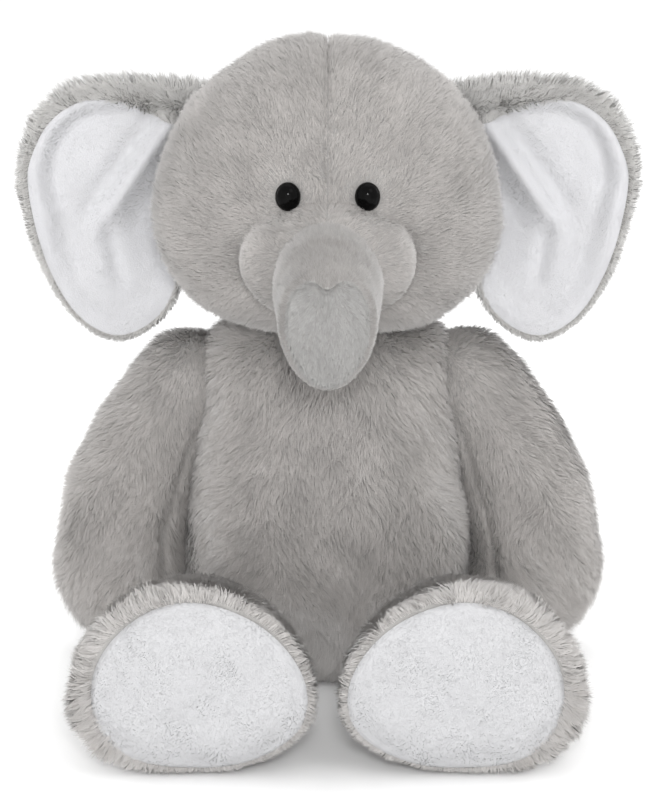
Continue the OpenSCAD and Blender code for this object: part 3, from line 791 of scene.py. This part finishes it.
def ear_folds(x, z):
    """How far the lining stands back from a plain dish: the fold beside the head and the hollow under it."""
    top, low = (EAR_LOW[0] + 3 * MM, HEAD_Z + 36 * MM), (EAR_LOW[0] + 38 * MM, HEAD_Z - 14 * MM)
    off, t = segment_gap(x, z, top, low)
    body = step(t, -0.35, 0.15) * (1 - step(t, 0.75, 1.35))
    ridge = -4.2 * MM * near(off, 5.5 * MM)
    inner = 7.5 * MM * step(-off, 1 * MM, 17 * MM)
    hollow = 2.2 * MM * near(off - 9 * MM, 6 * MM)
    tail_off, tail_t = segment_gap(x, z, low, (EAR_LOW[0] + 30 * MM, EAR_LOW[2] + 24 * MM))
    tail = 2.0 * MM * near(tail_off, 4.5 * MM) * step(tail_t, -0.1, 0.3) * (1 - step(tail_t, 0.7, 1.2))
    return (ridge + inner + hollow) * body + tail


EAR_THICK = 3.4 * MM
# how far out the lining reaches, as a share of the outline, by the bearing from the ear's middle in degrees
LIP_BEARINGS = [-90, -30, 0, 30, 60, 85, 102, 114, 126, 150, 180]
LIP_SHARES = [0.985, 0.975, 0.955, 0.945, 0.92, 0.90, 0.86, 0.79, 0.72, 0.70, 0.85]


def make_ear(side):
    sign = SIDES[side]
    cols = 160
    rim = closed_curve(ear_outline(), cols)
    middle = (EAR_LOW + np.array([0.48, 0, 0.53]) * (EAR_HIGH - EAR_LOW))[[0, 2]]
    out = rim - middle
    bearing = np.arctan2(out[:, 1], out[:, 0])
    fullness = 0.25 + 0.75 * step(np.sin(bearing + 0.35), -0.5, 0.5)       # of the rim, most above
    radius = np.linalg.norm(out, axis=-1)

    def sheet(shares, offset, folded=1.0):
        """Rings over the ear at those shares of its outline, offset(share) behind its middle sheet."""
        rings = []
        for rho in shares:
            rho = np.broadcast_to(rho, cols)
            xz = middle + out * rho[:, None]
            y = ear_y(xz[:, 0], xz[:, 1], rho)
            p = np.stack([xz[:, 0], y + offset(rho), xz[:, 1]], -1)
            inward = radius * (1 - rho)
            roll = -2.4 * MM * near(inward - 6.5 * MM, 5.0 * MM) + 1.1 * MM * near(inward - 15 * MM, 4.0 * MM)
            calm = 1 - step(rho, 0.8, 1)
            p[:, 1] += folded * (roll * fullness + ear_folds(p[:, 0], p[:, 2]) * (1 - rho**6))
            p[:, 1] += 1.1 * MM * noise(p, 38 * MM, 2) * calm
            rings.append(p * np.array([sign, 1, 1]))
        return rings

    lip = np.interp(bearing, np.radians(LIP_BEARINGS), LIP_SHARES)
    back = sheet(np.linspace(0.03, 1, 28), lambda rho: EAR_THICK * (1 - 0.3 * rho**6), 0.75)
    roll = [
        sheet([1 + 0.018 * math.cos(a)], lambda rho, a=a: EAR_THICK * 0.2 + EAR_THICK * 0.5 * math.sin(a))[0]
        for a in np.linspace(1.2, -1.2, 7)
    ]
    front = sheet([0.995 + (lip - 1.005) * k for k in np.linspace(0, 1, 8)], lambda rho: -EAR_THICK * 0.1)
    rings = np.array(back + roll + front)
    skin = loft(f"ear_skin_{side}", rings, [GREY_BACKING], cap_first=True, cap_last=False,
                inside=rings.mean((0, 1)) + [0, -4 * MM, 0])
    lining_rings = np.array(sheet([lip * k for k in np.linspace(1, 0.02, 60)],
                                  lambda rho: -1.0 * MM - 1.0 * MM * (1 - (rho / lip) ** 9)))
    lining = loft(f"ear_lining_cloth_{side}", lining_rings, [WHITE_NAP], cap_first=False,
                  inside=lining_rings.mean((0, 1)) + [0, 60 * MM, 0])
    for piece, slot in ((skin, "grey_plush"), (lining, "white_velboa")):
        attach(piece, f"ear_{side}")
    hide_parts(f"ear_back_{side}", f"ear_wadding_{side}")
    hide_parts(f"ear_lining_{side}")

    hub = np.array([sign * (EAR_LOW[0] - 6 * MM), 0, middle[1] + 6 * MM])
    middle_y = float(np.median(per_vertex(skin.data, "co")[:, 1]))

    def comb(q, n):
        """Outwards from the ear's root, and a little to the back."""
        v = q - hub
        v[:, 1] = 0
        return unit(v) + np.array([0, 0.25, 0])

    def length(q):
        """Longest on the back, and on the rim longer above than below."""
        top = step(q[:, 2], middle[1] - 10 * MM, EAR_HIGH[2] - 6 * MM)
        low = step(q[:, 2], EAR_LOW[2] + 6 * MM, EAR_LOW[2] + 44 * MM)
        back = step(q[:, 1], middle_y, middle_y + 6 * MM)
        return (2.6 + 2.6 * low + 3.4 * top) * MM * (1 - back) + 7 * MM * back

    pile(f"ear_pile_{side}", skin, f"ear_{side}", EAR_PILE, comb, length, 3.8, 31 + sign, lift=38, soft=1.0)
    pile(f"ear_nap_{side}", lining, f"ear_{side}", WHITE_PILE, comb, NAP, 4.0, 41 + sign, **NAP_LOOK)


# ------------------------------------------------------------------ torso

TORSO_RX, TORSO_RY, TORSO_H = box("torso_stuffing")[1] + FUR_FOOT + np.array([2, 0, 0]) * MM


def make_torso():
    cols = 120
    rows = [                                        # height and half axes, as shares of the torso's
        [0.004, 0.60, 0.60], [0.012, 0.78, 0.78], [0.05, 0.90, 0.90], [0.11, 0.97, 0.965], [0.20, 1.0, 0.995],
        [0.33, 1.005, 1.0], [0.47, 1.0, 0.985], [0.6, 0.965, 0.95], [0.72, 0.92, 0.89], [0.83, 0.875, 0.83],
        [0.91, 0.87, 0.77], [0.965, 0.85, 0.68], [1.01, 0.77, 0.56], [1.045, 0.63, 0.46], [1.08, 0.45, 0.38],
    ]
    a = np.arange(cols) * 2 * math.pi / cols
    rings = []
    for s in np.linspace(0, 1, 90):
        h, rx, ry = along(rows, s)
        x, y = TORSO_RX * rx * np.cos(a), TORSO_RY * ry * np.sin(a)
        rings.append(np.stack([x, y, np.full(cols, TORSO_H * h)], -1))
    rings = np.array(rings)
    away = unit(rings * np.array([1, 1, 0]))
    rings = rings + away * (1.8 * MM * noise(rings, 60 * MM, 0))[..., None]
    skin = loft("torso_skin", rings, [GREY_BACKING])
    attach(skin, "torso")
    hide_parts("torso_front", "torso_back_left", "torso_back_right", "seat_panel", "torso_stuffing")

    def side_seam(q):
        return near(q[:, 1] - 4 * MM, 2.6 * MM) * step(np.abs(q[:, 0]), 30 * MM, 40 * MM)

    def back_seam(q):
        return near(q[:, 0], 2.6 * MM) * step(q[:, 1], 0, 20 * MM)

    def pinned(q):
        ends = np.maximum(step(q[:, 2], 0.93 * TORSO_H, 0.99 * TORSO_H), 1 - step(q[:, 2], 1 * MM, 7 * MM))
        return np.maximum(ends, np.maximum(side_seam(q), back_seam(q)))

    SKINS.append((skin, 5 * MM, pinned))

    def comb(q, n):
        v = np.stack([q[:, 0] / (120 * MM), q[:, 1] / (200 * MM), np.full(len(q), -1.0)], -1)
        v[:, 0] += 0.9 * np.sign(q[:, 0]) * back_seam(q)
        return v + 0.5 * noise_slope(q, 70 * MM, 2)

    def length(q):
        return 7.5 * MM * (1 - 0.35 * back_seam(q)) * (1 - 0.3 * step(np.abs(q[:, 0]), 52 * MM, 66 * MM))

    def painted_light(q):
        """Painted light: the fur is painted lighter low down and towards the sides, where it should look lit.
        """
        low = 1 - step(q[:, 2], 18 * MM, 80 * MM)
        return np.maximum(low, 0.75 * step(np.abs(q[:, 0]), 34 * MM, 60 * MM))

    def dress():
        groove(skin, 1.6 * MM, side_seam, back_seam)
        pile("torso_pile", skin, "torso", LIT_PILE, comb, length, 3.0, 51, lift=28, painted_light=painted_light)

    return dress


# ------------------------------------------------------------------ arms

SHOULDER = joint_at("arm_raise_left")
HAND_Z = box("arm_stuffing_left")[0][2] - FUR_FOOT
ARM_SEAM_FRONT = math.radians(-128)                 # bearings of the inner panel's seams round the arm
ARM_SEAM_BACK = math.radians(140)
ARM_INNER = 74 * MM                                 # the fur is shorter further in than this


def make_arm(side):
    sign = SIDES[side]
    x, y, z = SHOULDER
    drop = z - HAND_Z
    rows = [
        [x - 10 * MM, y, z - 1 * MM, 22.5 * MM, 23 * MM],
        [x + 2.5 * MM, y - 0.5 * MM, z - 0.16 * drop, 26.5 * MM, 25 * MM],
        [x + 13.5 * MM, y - 1.5 * MM, z - 0.34 * drop, 30 * MM, 28 * MM],
        [x + 22.8 * MM, y - 3 * MM, z - 0.55 * drop, 31.3 * MM, 29.5 * MM],
        [x + 24.6 * MM, y - 4 * MM, z - 0.71 * drop, 32 * MM, 30.5 * MM],
        [x + 24.4 * MM, y - 5 * MM, z - 0.85 * drop, 32 * MM, 30.5 * MM],
        [x + 21.2 * MM, y - 5 * MM, z - 0.99 * drop, 31 * MM, 29.5 * MM],
    ]
    rings = limb_rings(rows, 60, 72, tip=0.25)
    away = unit(rings - rings.mean(1, keepdims=True))
    rings = rings + away * (1.4 * MM * noise(rings, 48 * MM, 1))[..., None]
    rings = rings * np.array([sign, 1, 1])
    skin = loft(f"arm_skin_{side}", rings, [GREY_BACKING])
    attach(skin, f"arm_{side}")
    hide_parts(f"arm_outer_{side}", f"arm_inner_{side}", f"arm_stuffing_{side}")
    table = np.array(rows)[::-1]

    def bearing(q):
        """The way from the arm's axis out to a point: 0 outwards, 90 degrees to the back."""
        cx, cy = (np.interp(q[:, 2], table[:, 2], table[:, k]) for k in (0, 1))
        return np.arctan2(q[:, 1] - cy, sign * q[:, 0] - cx)

    def seam(q):
        """The inner panel's seams, in front and behind, which waver a little."""
        a = bearing(q) + 0.06 * noise(q, 22 * MM, 1)
        front = near(a - ARM_SEAM_FRONT, math.radians(4.5))
        back = near(a - ARM_SEAM_BACK, math.radians(4.5))
        return (front + back) * (1 - step(q[:, 2], z - 30 * MM, z - 12 * MM))

    def pinned(q):
        return np.maximum(seam(q), step(q[:, 2], z - 14 * MM, z - 4 * MM))

    SKINS.append((skin, 4 * MM, pinned))

    def comb(q, n):
        v = np.stack([sign * np.full(len(q), 0.42), 0.1 * np.sign(q[:, 1]), np.full(len(q), -1.0)], -1)
        aside = np.where(bearing(q) > ARM_SEAM_FRONT, 1.0, -1.0)
        v[:, 0] += sign * 0.8 * aside * seam(q) * step(-q[:, 1], 0, 6 * MM)
        return v + 0.5 * noise_slope(q, 60 * MM, 0)

    def length(q):
        inner = step(-sign * (q[:, 0] - sign * ARM_INNER), -6 * MM, 6 * MM)
        return 8 * MM * (1 - 0.4 * inner) * (1 - 0.5 * seam(q))

    def dress():
        groove(skin, 1.8 * MM, seam)
        # The pile is painted lighter towards the hand: painted light, as if lit from below.
        pile(f"arm_pile_{side}", skin, f"arm_{side}", LIT_PILE, comb, length, 3.0, 61 + sign, lift=30,
             painted_light=lambda q: 0.1 + 0.5 * (1 - step(q[:, 2], HAND_Z + 8 * MM, HAND_Z + 70 * MM)))

    return dress


# ------------------------------------------------------------------ legs

HIP = joint_at("leg_lift_left")
LEG_LOW, LEG_HIGH = box("leg_skin_left")
FOOT_FRONT = -160 * MM


def make_leg(side):
    sign = SIDES[side]
    x, y, z = HIP
    run = FOOT_FRONT - y
    rx, _, rz = (LEG_HIGH - LEG_LOW) / 2
    cx, _, cz = (LEG_HIGH + LEG_LOW) / 2
    rows = [
        [x, y, z - 2 * MM, 29.5 * MM, 29 * MM],
        [x, y + 0.32 * run, z + 1 * MM, 34 * MM, 31.5 * MM],
        [cx, y + 0.60 * run, cz - 6 * MM, 0.87 * rx, rz - 9 * MM],
        [cx - 0.5 * MM, y + 0.82 * run, cz - 2 * MM, 0.97 * rx, rz - 4.5 * MM],
        [cx - 1.5 * MM, y + 0.96 * run, cz, 1.03 * rx, rz],
        [cx - 1.5 * MM, y + 1.05 * run, cz, 1.0 * rx, 0.97 * rz],
    ]
    rings = limb_rings(rows, 46, 112, sag=2.4)
    shaped = step(-rings[..., 1], -(y + 0.5 * run), -(y + 0.95 * run))
    height = (rings[..., 2] - cz) / rz
    upper = shaped * np.clip(height, 0, 1)
    rings[..., 0] = cx + (rings[..., 0] - cx) * (1 - 0.12 * shaped * height) + 3 * MM * upper
    rings[..., 2] += 1.8 * MM * upper
    rings[..., 2] += 4.5 * MM * shaped * np.clip(-height, 0, 1) * step((cx - rings[..., 0]) / rx, 0.1, 1)
    last = rings[-1]
    middle = last.mean(0)
    tuck = [middle + (last - middle) * k + np.array([shift * MM, back * MM, 0])
            for k, back, shift in ((0.985, -0.8, -0.9), (0.935, 0.4, -3.0), (0.92, 2.2, -3.6))]
    rings = np.concatenate([rings, tuck])
    away = unit(rings - rings.mean(1, keepdims=True))
    rings = rings + away * (1.2 * MM * noise(rings, 50 * MM, 2))[..., None]
    rings[..., 2] = np.maximum(rings[..., 2], 2 * FLOOR_GAP)
    edge = rings[-2] + np.array([0, -0.9 * MM, 0])
    middle = edge.mean(0)
    shares = np.linspace(1, 0.02, 44)
    sole_rings = np.array([
        middle + (edge - middle) * k
        + np.array([0, -7.5 * MM * (1 - k**3.4) + 1.2 * MM * near(1 - k, 0.02), 0]) for k in shares])
    lumps = 1.3 * MM * noise(sole_rings, 30 * MM, 1) + 0.25 * MM * noise(sole_rings, 13 * MM, 0)
    sole_rings[..., 1] += step(1 - shares, 0, 0.15)[:, None] * lumps
    mirror = np.array([sign, 1, 1])
    rings, sole_rings = rings * mirror, sole_rings * mirror
    skin = loft(f"leg_cover_{side}", rings, [GREY_BACKING])
    sole = loft(f"sole_cloth_{side}", sole_rings, [SHADE_PAINTED_SOLE_NAP], cap_first=False,
                inside=sole_rings.mean((0, 1)) + [0, 60 * MM, 0])
    for piece, slot in ((skin, "grey_plush"), (sole, "white_velboa")):
        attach(piece, f"leg_{side}")
    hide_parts(f"leg_skin_{side}", f"leg_stuffing_{side}")
    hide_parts(f"foot_sole_{side}")
    centre = np.array([sign * cx, 0, cz])

    def under_seam(q):
        return near(q[:, 0] - sign * cx, 2.6 * MM) * (1 - step(q[:, 2], 10 * MM, 20 * MM))

    def pinned(q):
        """The seam round the sole, the seam underneath, and the stretch that tucks into the torso."""
        held = np.maximum(step(-q[:, 1], 150 * MM, 156 * MM), 1 - step(-q[:, 1], 74 * MM, 86 * MM))
        return np.maximum(held, np.maximum(under_seam(q), 1 - step(q[:, 2], 1 * MM, 5 * MM)))

    SKINS.append((skin, 3.5 * MM, pinned))

    def comb(q, n):
        """Out from the leg's axis and forward, and round the sole only out."""
        v = q - centre
        v[:, 1] = 0
        edge_near = step(-q[:, 1], 130 * MM, 152 * MM)[:, None]
        return 0.8 * unit(v) + np.array([0, -0.9, 0]) * (1 - 0.85 * edge_near)

    def comb_sole(q, n):
        return np.array([0.15, 0, -1.0]) + 0.4 * noise_slope(q, 50 * MM, 1)

    def length(q):
        outer = step(sign * q[:, 0], cx - 10 * MM, cx + 30 * MM)
        rim = step(-q[:, 1], 140 * MM, 160 * MM)
        return (7.0 - 1.5 * rim + 2.5 * rim * outer) * MM * (0.45 + 0.55 * step(q[:, 2], 0, 26 * MM))

    sole_x, sole_z = np.abs(edge[:, 0]), edge[:, 2]
    sole_mid = np.array([sole_x.max() + sole_x.min(), sole_z.max() + sole_z.min()]) / 2
    sole_half = np.array([np.ptp(sole_x), np.ptp(sole_z)]) / 2

    def behind_sole(q):
        """Which points of the foot's front the sole covers."""
        away = (np.stack([sign * q[:, 0], q[:, 2]], -1) - sole_mid) / sole_half
        return np.linalg.norm(away, axis=-1) < 0.985

    def dress():
        # The pile is painted a little lighter all over and most on the rim round the sole: painted light,
        # where that ridge would be in shade.
        pile(f"leg_pile_{side}", skin, f"leg_{side}", LIT_PILE, comb, length, 3.4, 71 + sign, lift=34,
             soft=1.0, painted_light=lambda q: 0.15 + 0.75 * step(-q[:, 1], 146 * MM, 158 * MM),
             keep=lambda q, n: np.where(behind_sole(q) & (n[:, 1] < -0.8), 0.0, 1.0))
        pile(f"sole_nap_{side}", sole, f"leg_{side}", SHADE_PAINTED_SOLE_PILE, comb_sole, NAP, 4.0, 81 + sign, **NAP_LOOK)

    return dress


# ------------------------------------------------------------------ tail and small parts

TAIL_ROOT = joint_at("tail_wag")


def make_tail():
    _, y, z = TAIL_ROOT
    rows = [
        [0, y, z, 5.6 * MM, 5.6 * MM],
        [0, y + 11 * MM, 20 * MM, 5.6 * MM, 5.6 * MM],
        [0, y + 19 * MM, 12 * MM, 5.2 * MM, 5.2 * MM],
        [0, y + 31 * MM, 8 * MM, 4.6 * MM, 4.6 * MM],
    ]
    skin = loft("tail_cover", limb_rings(rows, 26, 28, tip=0.12), [GREY_BACKING])
    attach(skin, "tail")
    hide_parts("tail_skin", "tail_tuft")

    def comb(q, n):
        return np.array([0, 1.0, -0.5]) + 0 * q

    def length(q):
        """A tuft at the tail's end."""
        return np.where(q[:, 1] > y + 24 * MM, 14 * MM, 4.5 * MM)

    pile("tail_pile", skin, "tail", GREY_PILE, comb, length, 5.0, 91, lift=20)


def finish_cad_nodes():
    """Finishes for the CAD nodes that stay."""
    finish = {"neck_plug": WADDING, "neck_seam": THREAD, "care_label": LABEL}
    for side in SIDES:
        finish[f"eye_washer_{side}"] = WASHER
        finish[f"arm_seam_{side}"] = THREAD
        finish[f"leg_seam_{side}"] = THREAD
    for node, mat in finish.items():
        for slot in frame["nodes"][node].material_slots:
            slot.material = mat


studio()
make_head()
make_eyes()
make_trunk()
furring = [make_torso()]
for one_side in SIDES:
    make_ear(one_side)
    furring += [make_arm(one_side), make_leg(one_side)]
make_tail()
stuff_skins()
for dress in furring:
    dress()
finish_cad_nodes()
